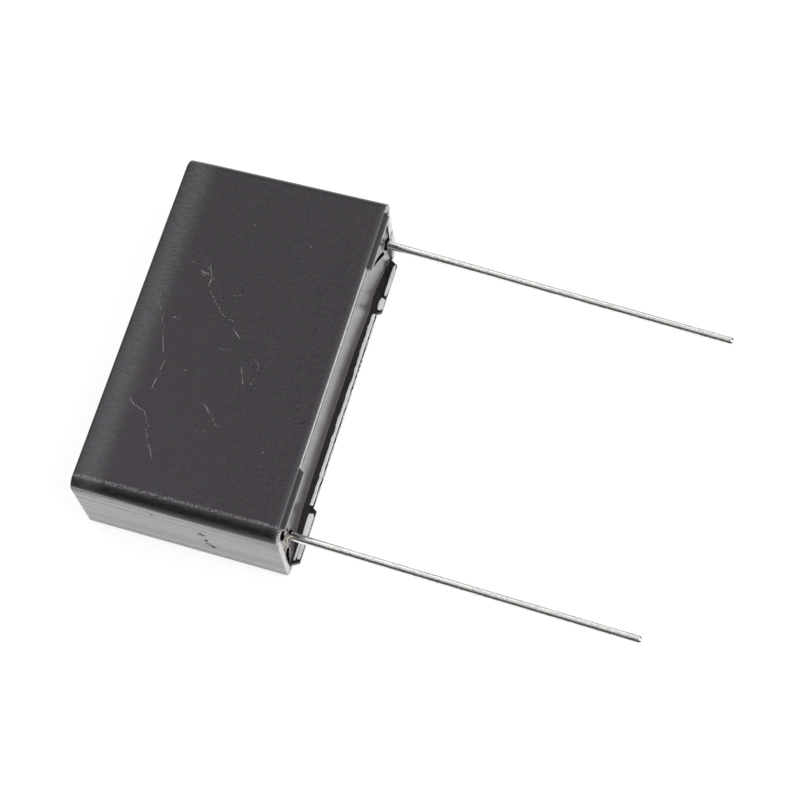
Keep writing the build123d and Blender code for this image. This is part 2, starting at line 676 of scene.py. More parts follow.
@dataclass
class MouldedCase:
    """Drafted box, open at its rim, with a stand-off foot near each corner of its long walls."""

    low: Vector
    high: Vector
    wall: float = 1.0
    closed_wall: float = 1.2
    edge_radius: float = 1.4
    edge_segments: int = 12
    closed_edge_radius: float = 0.3
    closed_edge_segments: int = 4
    rim_radius: float = 0.06
    rim_segments: int = 2
    rim_sharp: float = 40.0
    rim_depth: float = 0.05
    rim_play: float = 0.02
    end_draft: float = 0.26
    face_draft: float = 1.85
    foot_length: float = 7.3
    foot_height: float = 0.85
    front_foot_height: float = 0.58
    foot_end_angle: float = 60.0
    foot_setback: float = 0.45
    crown_drop: float = 0.16
    crown_reach: float = 1.5
    crown_cuts: Sequence[float] = (0.2, 0.45, 0.75, 1.1, 1.5, 2.0, 2.7, 3.6)
    lip_rise: float = 0.03
    lip_reach: float = 0.45
    lip_cuts: Sequence[float] = (3.0, 2.0, 1.3, 0.8, 0.4)
    bow_start: Span = (0.6, 0.85)

    @property
    def rim_x(self) -> float:
        """Place of the rim, under the feet's tips."""
        return self.high.x - self.foot_height

    @property
    def closed_x(self) -> float:
        """Place of the closed end's outer face."""
        return self.low.x

    @property
    def depth(self) -> float:
        """Length from the closed end to the rim."""
        return self.rim_x - self.closed_x

    @property
    def half_length(self) -> float:
        """Half of the outer length at the rim."""
        return self.high.y

    @property
    def thickness(self) -> float:
        """Outer thickness at the rim."""
        return self.high.z

    @property
    def foot_y(self) -> Span:
        """Inner and outer end of a foot's base, as distances from the middle."""
        outer = self.half_length - self.edge_radius
        return outer - self.foot_length, outer

    @property
    def inner_half(self) -> float:
        """Half of the inner length at the rim."""
        return self.half_length - self.wall

    def inner_z(self, wall: Wall) -> float:
        """Height of a long wall's inner face at the rim."""
        return self.wall if wall is Wall.BACK else self.thickness - self.wall

    def front_z(self, x: float) -> float:
        """Height of the front face at a distance along X, with its crown and lip."""
        return self.thickness - (self.rim_x - x) * slope(self.face_draft) + self.bow(x)

    def end_y(self, x: float) -> float:
        """Distance of an end wall's outer face from the middle, at a distance along X."""
        return self.half_length - (self.rim_x - x) * slope(self.end_draft)

    def bow(self, x: float) -> float:
        """How far the front face is pulled out of flat: it falls at the closed end and lifts at the rim."""
        crown = -self.crown_drop * math.exp(-(x - self.closed_x) / self.crown_reach)
        lip = self.lip_rise * (math.exp((x - self.rim_x) / self.lip_reach) - 1.0)
        return crown + lip

    def sink(self, vert: BMVert, depth: float) -> None:
        """Moves a point by a depth towards the closed end, and inwards as the drafts lead it."""
        vert.co.x -= depth
        vert.co.y -= math.copysign(depth * slope(self.end_draft), vert.co.y)
        if vert.co.z > self.thickness / 2:
            vert.co.z -= depth * slope(self.face_draft)

    def build(self, bench: Bench, plastic: Finish) -> None:
        """Models the case and lets it stand for its solid.

        Args:
            bench: Finishes the piece.
            plastic: Finish of the case.
        """
        bm = bmesh.new()
        self._block(bm)
        self._bow_front(bm)
        self._hollow(bm)
        self._feet(bm)
        self._soften_rim(bm)
        case = bench.finish(bm, "case_shell", plastic, Slot.CASE, CASE_SHARP)
        even = case.modifiers.new("even_normals", "WEIGHTED_NORMAL")
        even.keep_sharp = True
        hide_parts("case")

    def _block(self, bm: BMesh) -> None:
        """Makes the outer block, drafted towards the closed end and rounded along its edges."""
        bmesh.ops.create_cube(bm, size=1.0)
        bmesh.ops.scale(bm, vec=(self.depth, 2 * self.half_length, self.thickness), verts=bm.verts[:])
        bmesh.ops.translate(bm, vec=(self.rim_x - self.depth / 2, 0, self.thickness / 2), verts=bm.verts[:])
        for vert in bm.verts:
            if vert.co.x < self.rim_x - self.depth / 2:
                vert.co.y = math.copysign(self.end_y(vert.co.x), vert.co.y)
                if vert.co.z > self.thickness / 2:
                    vert.co.z -= self.depth * slope(self.face_draft)
        round_edges(bm, edges_along(bm.edges, 0), self.edge_radius, self.edge_segments)
        closed = min(bm.faces, key=lambda face: face.calc_center_median().x)
        round_edges(bm, closed.edges[:], self.closed_edge_radius, self.closed_edge_segments)

    def _bow_front(self, bm: BMesh) -> None:
        """Cuts loops round the block and bends its front face as the moulding has pulled it."""
        first = self.closed_x + self.closed_edge_radius
        cuts = [first + self.crown_reach * share for share in self.crown_cuts]
        cuts += [self.rim_x - self.lip_reach * share for share in self.lip_cuts]
        for x in cuts:
            whole = bm.verts[:] + bm.edges[:] + bm.faces[:]
            bmesh.ops.bisect_plane(bm, geom=whole, plane_co=(x, 0, 0), plane_no=(1, 0, 0))
        for vert in bm.verts:
            vert.co.z += ease(self.bow_start, vert.co.z / self.thickness) * self.bow(vert.co.x)

    def _hollow(self, bm: BMesh) -> None:
        """Insets the rim by the wall and sinks the hollow to the closed wall."""
        rim = max(bm.faces, key=lambda face: face.calc_center_median().x)
        bmesh.ops.inset_region(bm, faces=[rim], thickness=self.wall, use_even_offset=True, use_boundary=True)
        for vert in points_of(bmesh.ops.extrude_face_region(bm, geom=[rim])):
            self.sink(vert, self.depth - self.closed_wall)
        if rim.is_valid:
            bmesh.ops.delete(bm, geom=[rim], context="FACES_ONLY")

    def _feet(self, bm: BMesh) -> None:
        """Raises the four feet from the rim of the long walls."""
        inner_y, outer_y = self.foot_y
        for outer_z, inner_z, height in (
            (self.foot_setback, self.inner_z(Wall.BACK), self.foot_height),
            (self.thickness - self.foot_setback, self.inner_z(Wall.FRONT), self.front_foot_height),
        ):
            taper = height / slope(self.foot_end_angle)
            cuts = [((0, side * inner_y, 0), (0, 1, 0)) for side in (1, -1)] + [((0, 0, outer_z), (0, 0, 1))]
            for place, normal in cuts:
                strip = [face for face in bm.faces if self._on_rim(face, outer_z, inner_z)]
                edges = once(edge for face in strip for edge in face.edges)
                verts = once(vert for face in strip for vert in face.verts)
                bmesh.ops.bisect_plane(bm, geom=verts + edges + strip, plane_co=place, plane_no=normal)
            for side in (1, -1):
                middle_y = side * (inner_y + outer_y) / 2
                base = [
                    face
                    for face in bm.faces
                    if self._on_rim(face, outer_z, inner_z)
                    and abs(face.calc_center_median().y - middle_y) < self.foot_length / 2
                    and (face.calc_center_median().z - outer_z) * (inner_z - outer_z) > 0
                ]
                for vert in points_of(bmesh.ops.extrude_face_region(bm, geom=base)):
                    vert.co.x += height
                    vert.co.y -= math.copysign(taper, vert.co.y - middle_y)
                bmesh.ops.delete(bm, geom=[face for face in base if face.is_valid], context="FACES_ONLY")

    def _on_rim(self, face: BMFace, outer_z: float, inner_z: float) -> bool:
        """Tells whether a face lies on the rim of the long wall whose foot has these heights."""
        middle = face.calc_center_median()
        flat = face.normal.x > SQUARE and abs(middle.x - self.rim_x) < self.rim_play
        near = abs(middle.z - (outer_z + inner_z) / 2) < self.wall
        return flat and near and abs(middle.y) < self.half_length - self.edge_radius

    def _soften_rim(self, bm: BMesh) -> None:
        """Takes the sharpness off the edges of the rim and the feet."""
        bmesh.ops.recalc_face_normals(bm, faces=bm.faces[:])
        sharp = [
            edge
            for edge in bm.edges
            if min(vert.co.x for vert in edge.verts) > self.rim_x - self.rim_depth
            and edge.calc_face_angle(0.0) > math.radians(self.rim_sharp)
        ]
        round_edges(bm, sharp, self.rim_radius, self.rim_segments)


@dataclass(frozen=True)
class Lump:
    """Small rise in the resin: its middle along Y and Z, its reach, its height, and how pale it is."""

    middle: FacePoint
    reach: float
    height: float
    pale: float

    def share(self, y: float, z: float) -> float:
        """Gives 1 in its middle, falling to 0 beyond its reach."""
        return math.exp(-(((y - self.middle[0]) ** 2 + (z - self.middle[1]) ** 2) / self.reach**2))


# The two small palest lumps stand partly for glints at the right lead's root: painted highlight
RESIN_LUMPS = (
    Lump((-19.2, 9.0), 1.3, 0.12, pale=0.14),
    Lump((-18.75, 10.6), 0.5, 0.22, pale=0.2),
    Lump((-19.1, 9.25), 0.22, 0.22, pale=0.9),
    Lump((-18.55, 7.9), 0.3, 0.3, pale=1.0),
    Lump((-19.6, 8.1), 0.45, 0.15, pale=0.25),
)


@dataclass(frozen=True)
class Dish:
    """How the resin rises towards one end: where it is at its highest, and how late it starts to rise."""

    half: float
    power: float


@dataclass
class ResinFill:
    """Cast resin: a dished surface that creeps up the walls and stands in a mound round each lead.

    It also has lumps beside the right lead and has drawn away from the back wall beside the left one.
    """

    case: MouldedCase
    leads: Sequence[FacePoint]
    element_low: Vector
    element_high: Vector
    recess: float = 0.88
    end_recess: float = 0.16
    left_dish: Dish = Dish(17.4, 3.0)
    right_dish: Dish = Dish(18.5, 8.0)
    corner_radius: float = 0.4
    creep_rise: float = 0.06
    creep_reach: float = 0.07
    creep_waves: Sequence[Wave] = (Wave(0.25, 1.6), Wave(0.12, 0.5))
    swell: Wave = Wave(0.01, 7.0, 3.0)
    shrink_depth: float = 0.32
    shrink_reach: float = 0.45
    shrink_stretch: Span = (12.0, 18.8)
    shrink_start: Span = (0.0, 0.5)
    shrink_stop: Span = (0.9, 1.0)
    wire_radius: float = 0.5
    mound_height: float = 0.38
    mound_reach: float = 0.3
    mound_end: float = 4.0
    mound_wave: Wave = Wave(0.3, 0.7, 5.0)
    root_reach: float = 0.9
    root_wave: Wave = Wave(0.2, 0.55, 9.0)
    steps_y: int = 300
    steps_z: int = 180
    crowding: float = 0.75
    pocket_round: float = 0.499
    pocket_segments: int = 12

    def height(self, y: float, z: float) -> float:
        """Place of the surface along X at a point of the opening.

        Args:
            y: Distance from the middle along the case.
            z: Height above the surface that the part lies on.

        Returns:
            The surface's X there, in millimetres.
        """
        here = (0.0, y, z)
        to_wall = min(z - self.case.inner_z(Wall.BACK), self.case.inner_z(Wall.FRONT) - z)
        sunk = self.recess - self.end_recess
        shape = self.left_dish if y > 0 else self.right_dish
        dish = sunk * min(abs(y) / shape.half, 1.0) ** shape.power
        rise = self.creep_rise * (1.0 + total(self.creep_waves, here))
        creep = rise * math.exp(-max(to_wall, 0.0) / self.creep_reach)
        rest = self.swell.at(here) * (1.0 - dish / sunk)
        flat = self.case.rim_x - self.recess + min(dish + creep, sunk) + rest
        lumps = sum(lump.height * lump.share(y, z) for lump in RESIN_LUMPS) - self._shrinkage(y, z)
        return flat + lumps + sum(self._mound(y, z, *lead) for lead in self.leads)

    def paleness(self, y: float, z: float) -> float:
        """How pale the resin is at a point of the opening, from 0 to 1."""
        return min(sum(lump.pale * lump.share(y, z) for lump in RESIN_LUMPS), 1.0)

    def _shrinkage(self, y: float, z: float) -> float:
        """How far the resin has drawn away from the back wall beside the left lead."""
        start, end = self.shrink_stretch
        along = (y - start) / (end - start)
        share = ease(self.shrink_start, along) * (1.0 - ease(self.shrink_stop, along))
        return self.shrink_depth * share * math.exp(-max(z - self.case.wall, 0.0) / self.shrink_reach)

    def _mound(self, y: float, z: float, lead_y: float, lead_z: float) -> float:
        """How far the resin climbs one lead at a point."""
        away = max(math.hypot(y - lead_y, z - lead_z) - self.wire_radius, 0.0)
        if away > self.mound_end:
            return 0.0
        here = (0.0, y, z)
        climb = self.mound_height * (1.0 + self.mound_wave.at(here)) * math.exp(-away / self.mound_reach)
        return climb + self.root_wave.at(here) * math.exp(-away / self.root_reach)

    def build(self, bench: Bench, resin: Finish) -> None:
        """Models the resin and lets it stand for its solid.

        Args:
            bench: Finishes the piece.
            resin: Finish of the resin.
        """
        bm = bmesh.new()
        bmesh.ops.create_grid(bm, x_segments=self.steps_y, y_segments=self.steps_z, size=1.0)
        middle_z = self.case.thickness / 2
        half_z = middle_z - self.case.wall
        tone = bm.verts.layers.float.new(LUMP_TONE)
        for vert in bm.verts:
            y, z = self.case.inner_half * self._crowd(vert.co.x), half_z * self._crowd(vert.co.y)
            y, z = self._round_corner(y, z, half_z)
            vert.co = (self.height(y, middle_z + z), y, middle_z + z)
            vert[tone] = self.paleness(y, middle_z + z)
        self._close(bm)
        self._pocket(bm)
        fill = bench.finish(bm, "resin_fill", resin, Slot.RESIN, RESIN_SHARP)
        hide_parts("potting_resin")

    def _crowd(self, share: float) -> float:
        """Crowds grid lines towards the walls, where the surface bends most."""
        return (1.0 - self.crowding) * share + self.crowding * math.sin(share * math.pi / 2)

    def _round_corner(self, y: float, z: float, half_z: float) -> FacePoint:
        """Pulls a point of the grid into the hollow's rounded corner."""
        over_y = abs(y) - (self.case.inner_half - self.corner_radius)
        over_z = abs(z) - (half_z - self.corner_radius)
        reach = math.hypot(over_y, over_z)
        if over_y <= 0 or over_z <= 0 or reach <= self.corner_radius:
            return y, z
        pull = 1.0 - self.corner_radius / reach
        return y - math.copysign(over_y * pull, y), z - math.copysign(over_z * pull, z)

    def _close(self, bm: BMesh) -> None:
        """Carries the edge of the surface down the walls of the hollow and closes it at the bottom."""
        bottom = self.case.closed_x + self.case.closed_wall
        rim = [edge for edge in bm.edges if edge.is_boundary]
        for vert in points_of(bmesh.ops.extrude_edge_only(bm, edges=rim)):
            self.case.sink(vert, vert.co.x - bottom)
        close_up(bm)

    def _pocket(self, bm: BMesh) -> None:
        """Leaves the hollow that the wound element sits in, with its round long edges."""
        size = self.element_high - self.element_low
        made = bmesh.ops.create_cube(bm, size=1.0)["verts"]
        bmesh.ops.scale(bm, vec=size, verts=made)
        bmesh.ops.translate(bm, vec=(self.element_low + self.element_high) / 2, verts=made)
        faces = once(face for vert in made for face in vert.link_faces)
        long_edges = edges_along(once(edge for vert in made for edge in vert.link_edges), 1)
        rounded = round_edges(bm, long_edges, size.z * self.pocket_round, self.pocket_segments)
        bmesh.ops.reverse_faces(bm, faces=once([face for face in faces if face.is_valid] + rounded))


# Each lead's place along Y at the rim, in millimetres, and the angle that it is bent by there, in degrees
LEADS = ((Side.LEFT, 18.76, -1.83), (Side.RIGHT, -18.04, -1.26))


@dataclass
class WireLead:
    """Round tinned wire: straight out of the resin, bent a little at the rim and cut off at its tip."""

    side: Side
    low: Vector
    high: Vector
    rim_x: float
    rim_y: float
    sway: float
    radius: float = 0.5
    sides: int = 24
    rings: int = 420
    dents: Sequence[Wave] = (Wave(0.012, 1.3, 2.0), Wave(0.0072, 0.4, 6.0))
    dent_turns: float = 3.0
    tip_gap: float = 0.02
    nip: float = 0.16
    nip_share: float = 0.22

    @property
    def height(self) -> float:
        """Height of the wire's axis."""
        return (self.low.z + self.high.z) / 2

    @property
    def tip_x(self) -> float:
        """Place of the cut end."""
        return self.high.x - self.tip_gap

    def build(self, bench: Bench, tin: Finish) -> None:
        """Models the wire and lets it stand for its solid.

        Args:
            bench: Finishes the piece.
            tin: Finish of the wire.
        """
        bm = bmesh.new()
        bmesh.ops.create_cone(
            bm, cap_ends=True, segments=self.sides, radius1=self.radius, radius2=self.radius, depth=1.0
        )
        bmesh.ops.subdivide_edges(bm, edges=edges_along(bm.edges, 2), cuts=self.rings, use_grid_fill=True)
        lay_down = Matrix.Rotation(QUARTER_TURN, 3, "Y")
        bmesh.ops.rotate(bm, cent=(0, 0, 0), matrix=lay_down, verts=bm.verts[:])
        for vert in bm.verts:
            x = self.low.x + (vert.co.x + 0.5) * (self.tip_x - self.low.x)
            vert.co = self._skin(x, Vector((0.0, vert.co.y, vert.co.z)).normalized())
        bmesh.ops.recalc_face_normals(bm, faces=bm.faces[:])
        wire = bench.finish(bm, f"wire_{self.side.name.lower()}", tin, Slot.WIRE, WIRE_SHARP)
        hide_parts(f"lead_{self.side.name.lower()}")

    def _skin(self, x: float, around: Vector) -> Vector:
        """Place of a point on the wire's skin.

        Args:
            x: Place along the wire.
            around: Direction from the axis to the point.

        Returns:
            The point, with the wire's small dents and its nipped end.
        """
        y = self.rim_y + max(x - self.rim_x, 0.0) * slope(self.sway)
        here = (x, self.dent_turns * around.y, self.dent_turns * around.z)
        radius = min(self.radius * (1.0 + total(self.dents, here)), self.radius)
        radius *= 1.0 - self.nip_share * max((x - self.tip_x) / self.nip + 1.0, 0.0) ** 2
        return Vector((x, y + radius * around.y, self.height + radius * around.z))


class MarkTone(Enum):
    """How a mark on the plastic looks, with the name of the piece that has all marks of this tone."""

    PALE = "scuffs"
    DARK = "smudges"


class MarkFace(Enum):
    """Face of the case that a mark is on, with the direction out of it."""

    FRONT = (0.0, 0.0, 1.0)
    END = (0.0, -1.0, 0.0)


@dataclass(frozen=True)
class Stroke:
    """One mark on a face of the case, as a line of chips between given places.

    Places are along X and Y on the front face and along X and Z on the end wall, in millimetres.
    """

    places: Sequence[FacePoint]
    width: float
    chip: float
    gap: float = 0.0
    tone: MarkTone = MarkTone.PALE
    face: MarkFace = MarkFace.FRONT


@dataclass(frozen=True)
class Rub:
    """Dark rubbed patch on the end wall, as flecks round a middle along X and Z."""

    middle: FacePoint
    reach: FacePoint
    flecks: int


STROKES = (
    Stroke(((-9.6, 3.9), (-9.5, 2.6), (-8.7, 1.4), (-7.9, -0.7), (-6.9, -3.3)), 0.07, 0.5),
    Stroke(((-6.4, -4.2), (-6.6, -6.0), (-6.7, -7.7)), 0.08, 0.45),
    Stroke(
        ((-8.8, -9.3), (-7.8, -10.1), (-6.7, -10.4), (-6.2, -11.1), (-5.3, -13.4), (-3.9, -15.6)),
        0.08, 0.4, 0.1,
    ),
    Stroke(((-5.6, 8.4), (-5.4, 7.6)), 0.12, 0.35),
    Stroke(((-5.3, 8.5), (-4.6, 6.8), (-4.4, 5.6)), 0.12, 0.4),
    Stroke(((-6.0, 7.3), (-5.0, 7.1)), 0.12, 0.3),
    Stroke(((-5.8, 6.9), (-5.2, 6.8)), 0.1, 0.25),
    Stroke(((-4.1, 5.2), (-3.1, 3.9), (-2.2, 3.0), (-1.4, 2.5), (-0.4, 2.2)), 0.12, 0.16, 0.2),
    Stroke(((-0.2, 1.4), (0.9, 0.4)), 0.11, 0.3, 0.1),
    Stroke(((-1.5, 5.4), (-0.6, 5.2)), 0.08, 0.3, 0.1),
    Stroke(((-7.2, 1.1), (-6.1, 1.0)), 0.13, 0.16, 0.14),
    Stroke(((-0.9, -1.2), (0.2, -1.3)), 0.1, 0.2, 0.14),
    Stroke(((2.2, -2.7), (2.4, -3.4), (2.9, -4.6)), 0.1, 0.22, 0.12),
    Stroke(((3.3, -1.4), (4.0, -2.2), (4.0, -2.7)), 0.06, 0.3, 0.1),
    Stroke(((-0.9, -7.9), (-0.4, -8.0), (0.6, -9.0), (1.7, -10.0), (2.6, -10.2)), 0.11, 0.24, 0.12),
    Stroke(((10.0, -7.7), (11.6, -6.7)), 0.07, 0.4, 0.0, MarkTone.DARK),
    Stroke(((-2.8, 11.0), (-2.5, 11.0)), 0.3, 0.2, 0.0, MarkTone.DARK, MarkFace.END),
    Stroke(((0.0, 12.1), (0.9, 12.4)), 0.14, 0.14, 0.6, MarkTone.PALE, MarkFace.END),
)
FRONT_SPECKS = (
    (-8.1, 6.9), (-7.2, 8.1), (2.5, 0.5), (3.8, -4.4), (-0.4, -11.2), (0.5, -11.1),
    (-3.8, -4.7), (-4.9, 19.2), (-1.8, 14.2), (5.2, 13.2), (7.8, -13.3), (7.6, -11.7),
)
END_RUBS = (
    Rub((2.75, 8.4), (0.4, 0.6), 14),
    Rub((3.0, 6.5), (0.3, 0.45), 7),
    Rub((3.45, 5.0), (0.5, 0.6), 15),
)


@dataclass
class SurfaceMarks:
    """Scratches, specks and rub marks on the case, as small chips that stand a little out of its faces."""

    case: MouldedCase
    chip_height: float = 0.018
    chip_pitch: float = 0.75
    wander: Wave = Wave(0.13, 0.6, 7.0)
    uneven: Wave = Wave(0.9, 0.3, 9.0)
    stray_above: float = 0.039
    stray: float = 0.16
    stray_share: float = 0.6
    scatter: float = 2.4
    speck_size: float = 0.16
    speck_swing: float = 0.4
    speck_width: float = 0.8
    fleck_size: float = 0.21
    fleck_length: float = 1.7
    fleck_lean: float = 0.4
    fleck_shares: Span = (1.2, 0.7)
    fleck_uneven: Wave = Wave(0.8, 0.3, 3.0)
    drift_x: Wave = Wave(1.0, 0.5, 11.0)
    drift_z: Wave = Wave(1.0, 0.5, 13.0)

    def build(self, bench: Bench, finishes: dict[MarkTone, Finish]) -> None:
        """Models all marks, as one piece for each tone.

        Args:
            bench: Finishes the pieces.
            finishes: Finish of each tone.
        """
        for tone in MarkTone:
            bm = bmesh.new()
            for stroke in STROKES:
                if stroke.tone is tone:
                    self._stroke(bm, stroke)
            if tone is MarkTone.DARK:
                for rub in END_RUBS:
                    self._rub(bm, rub)
            else:
                self._specks(bm)
            bench.finish(bm, tone.value, finishes[tone], Slot.CASE, CHIP_SHARP)

    def _seat(self, place: FacePoint, face: MarkFace) -> Vector:
        """Puts a place of a face into the part's frame."""
        along, across = place
        if face is MarkFace.END:
            return Vector((along, -self.case.end_y(along), across))
        return Vector((along, across, self.case.front_z(along)))

    def _stroke(self, bm: BMesh, stroke: Stroke) -> None:
        """Lays the chips of one stroke, some of which stray from its line."""
        seats = [self._seat(place, stroke.face) for place in stroke.places]
        for start, end in zip(seats, seats[1:]):
            run = end - start
            count = max(1, round(run.length / (stroke.chip * self.chip_pitch + stroke.gap)))
            across = Vector(stroke.face.value).cross(run).normalized()
            for index in range(count):
                middle = start + run * ((index + 0.5) / count)
                wander = self.wander.at(middle)
                uneven = self.uneven.at(middle)
                share = 1.0 + uneven
                middle += across * wander
                if wander > self.stray_above:
                    middle += across * math.copysign(self.stray, uneven)
                    share *= self.stray_share
                size = (stroke.chip * share, stroke.width * share)
                self._chip(bm, middle, run.normalized(), stroke.face, size)

    def _specks(self, bm: BMesh) -> None:
        """Lays the specks of the front face."""
        for index, place in enumerate(FRONT_SPECKS):
            size = self.speck_size * (1.0 + self.speck_swing * math.sin(self.scatter * index))
            seat = self._seat(place, MarkFace.FRONT)
            self._chip(bm, seat, Vector((1, 0, 0)), MarkFace.FRONT, (size, self.speck_width * size))

    def _rub(self, bm: BMesh, rub: Rub) -> None:
        """Scatters the flecks of one rubbed patch, smaller towards its edge."""
        inside, outside = self.fleck_shares
        for index in range(rub.flecks):
            share = math.sqrt((index + 0.5) / rub.flecks)
            turn = self.scatter * index
            x = rub.middle[0] + rub.reach[0] * share * math.cos(turn)
            z = rub.middle[1] + rub.reach[1] * share * math.sin(turn)
            x += rub.reach[0] * self.drift_x.at((x, 0.0, z))
            z += rub.reach[1] * self.drift_z.at((x, 0.0, z))
            size = self.fleck_size * (inside + (outside - inside) * share)
            size *= 1.0 + self.fleck_uneven.at((x, 0.0, z))
            along = Vector((math.cos(turn), 0.0, self.fleck_lean * math.sin(turn))).normalized()
            seat = self._seat((x, z), MarkFace.END)
            self._chip(bm, seat, along, MarkFace.END, (self.fleck_length * size, size))

    def _chip(self, bm: BMesh, middle: Vector, along: Vector, face: MarkFace, size: FacePoint) -> None:
        """Adds one flat chip.

        Args:
            bm: The marks of one tone.
            middle: The chip's middle, on the face.
            along: Direction of its length.
            face: The face that it is on.
            size: Its length and width.
        """
        normal = Vector(face.value)
        turn = Matrix((along, normal.cross(along), normal)).transposed().to_4x4()
        stretch = Matrix.Diagonal((size[0] / 2, size[1] / 2, self.chip_height, 1.0))
        place = Matrix.Translation(middle) @ turn @ stretch
        bmesh.ops.create_icosphere(bm, subdivisions=1, radius=1.0, matrix=place)


# Outlines of a bead's section: the share of its width at each point and the share of its thickness there
LINE_OUTLINE = ((1.0, 0.0), (0.8, 0.7), (0.4, 1.0), (0.1, 0.8), (0.0, 0.0))
STRIP_OUTLINE = ((0.0, 0.0), (0.1, 0.8), (0.5, 1.0), (0.9, 0.8), (1.0, 0.0))


@dataclass
class RimBead:
    """Thin uneven bead along the rim of a long wall, from foot to foot."""

    name: str
    case: MouldedCase
    wall: Wall
    seed: float
    steps: int = 420
    waves: Sequence[Wave] = (Wave(1.0, 1.7), Wave(0.6, 0.6, 1.0), Wave(0.35, 0.25))
    ragged: float = 0.1
    buried: float = 0.05
    merge: float = 1e-5

    def at(self, x: float, reach: float) -> FacePoint:
        """A point of a section at a distance from the wall's inner face, counted towards the outside."""
        return x, self.case.inner_z(self.wall) + self.wall.value * reach

    def wave(self, y: float) -> float:
        """Unevenness of the bead at a place along the wall, from about -1 to 1."""
        return total(self.waves, (0.0, y, 0.0), self.seed)

    def section(self, y: float) -> list[FacePoint]:
        """Outline of the bead at a place along the wall, as X and Z."""
        raise NotImplementedError

    def build(self, bench: Bench, finish: Finish) -> None:
        """Models the bead.

        Args:
            bench: Finishes the piece.
            finish: Finish of the bead.
        """
        bm = bmesh.new()
        points = len(self.section(0.0))
        bmesh.ops.create_grid(bm, x_segments=self.steps, y_segments=points, size=1.0)
        half = self.case.foot_y[0]
        for vert in bm.verts:
            y = half * vert.co.x
            index = round((vert.co.y + 1.0) / 2.0 * points) % points
            x, z = self.section(y)[index]
            vert.co = (x, y, z)
        bmesh.ops.remove_doubles(bm, verts=bm.verts[:], dist=self.merge)
        close_up(bm)
        bench.finish(bm, self.name, finish, Slot.RESIN, RESIN_SHARP)


@dataclass
class PaleLine(RimBead):
    """Pale line on the inner side of a wall's rim, with ragged edges: a painted highlight."""

    depth: float = 0.38
    least_depth: float = 0.06
    thickness: float = 0.035
    above_rim: float = 0.25
    top_ragged: float = 0.03
    top_shift: float = 7.0

    def section(self, y: float) -> list[FacePoint]:
        """Outline of the skin, from its lower edge up to its top and back inside the wall."""
        top = self.case.rim_x + self.above_rim + self.top_ragged * self.wave(y + self.top_shift)
        deep = max(self.depth + self.ragged * self.wave(y), self.least_depth)
        outside = [self.at(top - share * deep, -lift * self.thickness) for share, lift in LINE_OUTLINE]
        return outside + [self.at(top - deep / 2, self.buried)]


@dataclass
class RimStrip(RimBead):
    """Skin or flash on the top of a wall's rim, with a ragged inner side and an uneven height."""

    inner: float = 0.2
    outer: float = 0.97
    edge: float = 0.02
    thickness: float = 0.03
    swing: float = 0.0
    swing_shift: float = 3.0

    def section(self, y: float) -> list[FacePoint]:
        """Outline of the skin, from its inner edge across the rim and back inside the wall."""
        rim = self.case.rim_x
        thickness = self.thickness * (1.0 + self.swing * self.wave(y + self.swing_shift))
        start = min(max(self.inner + self.ragged * self.wave(y), self.edge), self.outer - self.edge)
        width = self.outer - start
        outside = [self.at(rim + lift * thickness, start + share * width) for share, lift in STRIP_OUTLINE]
        return outside + [self.at(rim - self.buried, start + width / 2)]


@dataclass(frozen=True)
class Pool:
    """Flat pool on a face: its middle and half sizes along two axes there, and how far it swells out."""

    middle: FacePoint
    half: FacePoint
    swell: float = 0.0


# White pools on the back feet's inner faces: painted reflection
FOOT_POOLS = (
    Pool((12.64, 16.95), (0.2, 2.0)),
    Pool((12.5, 13.75), (0.33, 0.8)),
    Pool((12.44, -14.75), (0.36, 1.55)),
    Pool((12.16, -17.6), (0.13, 1.5)),
    Pool((12.54, -17.45), (0.23, 1.35)),
)
# Films on the back flash and on the end walls' rims, paler than the resin: partly painted glare
FLASH_POOLS = (
    Pool((10.45, 0.52), (1.05, 0.4)),
    Pool((8.55, 0.52), (0.65, 0.38)),
    Pool((6.55, 0.5), (0.25, 0.36)),
    Pool((5.9, 0.5), (0.2, 0.36)),
    Pool((5.3, 0.5), (0.2, 0.34)),
    Pool((4.6, 0.5), (0.3, 0.36)),
    Pool((3.5, 0.5), (0.6, 0.32)),
    Pool((1.4, 0.52), (1.2, 0.34)),
    Pool((-0.85, 0.5), (0.85, 0.36)),
    Pool((-2.95, 0.5), (0.85, 0.36)),
    Pool((-5.65, 0.52), (1.45, 0.34)),
    Pool((-8.25, 0.5), (0.75, 0.38)),
    Pool((-10.45, 0.52), (1.05, 0.36)),
)
END_POOLS = (
    Pool((-20.5, 6.7), (0.44, 5.9)),
    Pool((-19.75, 12.75), (0.4, 0.35)),
    Pool((20.32, 8.4), (0.6, 4.0), 0.06),
    Pool((20.3, 3.9), (0.66, 3.2), 0.26),
    Pool((19.9, 0.55), (0.6, 0.35)),
)
LENS_WAVE = Wave(0.18, 0.6)
LENS_POWER = 0.65


def lens(bm: BMesh, middle: Point, half: Point, fineness: int = 4) -> None:
    """Adds a flat lens with an uneven outline.

    Args:
        bm: Mesh that it is added to.
        middle: Its middle.
        half: Half of its size along each axis.
        fineness: How often its faces are split.
    """
    for vert in bmesh.ops.create_icosphere(bm, subdivisions=fineness, radius=1.0)["verts"]:
        uneven = 1.0 + LENS_WAVE.at(vert.co, middle[1])
        blunt = [math.copysign(abs(step) ** LENS_POWER, step) for step in vert.co]
        vert.co = Vector(middle) + Vector([step * size * uneven for step, size in zip(blunt, half)])


